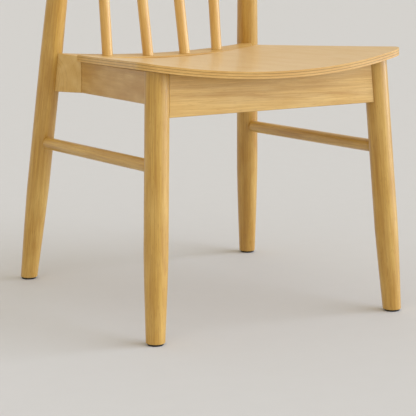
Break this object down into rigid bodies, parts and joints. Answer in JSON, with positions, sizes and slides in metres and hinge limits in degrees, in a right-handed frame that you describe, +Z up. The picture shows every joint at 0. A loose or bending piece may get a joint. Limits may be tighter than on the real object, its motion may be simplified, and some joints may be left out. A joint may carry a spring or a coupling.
{
  "type": "dining chair",
  "caption": "Wooden dining chair with a dished plywood seat on a rail frame, splayed round legs, sloping side stretchers and a curved spindle back.",
  "frame": {"origin": "on the floor, under the middle of the chair's outline", "axes": "+Z up, the front of the seat faces -Y, +X to the right seen from the front; the chair is symmetric about X = 0"},
  "size_m": [0.5078, 0.5738, 0.808],
  "materials": {
    "leg_wood": "clear satin lacquer on turned pale hardwood",
    "rail_wood": "clear satin lacquer on pale hardwood with open cathedral grain",
    "seat_plywood": "clear satin lacquer on a pale plywood face",
    "turned_wood": "clear satin lacquer on turned pale hardwood",
    "hidden_wood": "sawn and unlacquered",
    "dowel_wood": "bare fluted beech",
    "glide_plastic": "moulded matt black",
    "zinc_steel": "bright zinc plate",
    "black_steel": "black zinc plate"
  },
  "bodies": {
    "root": {"front_leg_left": "leg_wood", "front_leg_right": "leg_wood", "rear_post_left": "leg_wood", "rear_post_right": "leg_wood", "front_rail": "rail_wood", "side_rail_left": "rail_wood", "side_rail_right": "rail_wood", "rear_rail": "rail_wood", "seat_panel": "seat_plywood", "crest_rail": "rail_wood", "spindle_1": "turned_wood", "spindle_2": "turned_wood", "spindle_3": "turned_wood", "spindle_4": "turned_wood", "side_stretcher_left": "turned_wood", "side_stretcher_right": "turned_wood", "corner_block_front_left": "hidden_wood", "corner_block_front_right": "hidden_wood", "corner_block_rear_left": "hidden_wood", "corner_block_rear_right": "hidden_wood", "rear_cleat": "hidden_wood", "foot_glide_front_left": "glide_plastic", "foot_glide_front_right": "glide_plastic", "foot_glide_rear_left": "glide_plastic", "foot_glide_rear_right": "glide_plastic", "front_rail_dowel_left_1": "dowel_wood", "front_rail_dowel_left_2": "dowel_wood", "front_rail_dowel_right_1": "dowel_wood", "front_rail_dowel_right_2": "dowel_wood", "side_rail_dowel_left_1": "dowel_wood", "side_rail_dowel_left_2": "dowel_wood", "side_rail_dowel_right_1": "dowel_wood", "side_rail_dowel_right_2": "dowel_wood", "rear_rail_dowel_left_1": "dowel_wood", "rear_rail_dowel_left_2": "dowel_wood", "rear_rail_dowel_right_1": "dowel_wood", "rear_rail_dowel_right_2": "dowel_wood", "block_screw_front_left_1": "zinc_steel", "block_screw_front_left_2": "zinc_steel", "block_screw_front_left_3": "zinc_steel", "block_screw_front_right_1": "zinc_steel", "block_screw_front_right_2": "zinc_steel", "block_screw_front_right_3": "zinc_steel", "block_screw_rear_left_1": "zinc_steel", "block_screw_rear_left_2": "zinc_steel", "block_screw_rear_left_3": "zinc_steel", "block_screw_rear_right_1": "zinc_steel", "block_screw_rear_right_2": "zinc_steel", "block_screw_rear_right_3": "zinc_steel", "cleat_screw_1": "zinc_steel", "cleat_screw_2": "zinc_steel", "post_bolt_left_1": "black_steel", "post_bolt_left_2": "black_steel", "post_bolt_right_1": "black_steel", "post_bolt_right_2": "black_steel", "threaded_insert_left_1": "zinc_steel", "threaded_insert_left_2": "zinc_steel", "threaded_insert_right_1": "zinc_steel", "threaded_insert_right_2": "zinc_steel"}
  },
  "joints": []
}
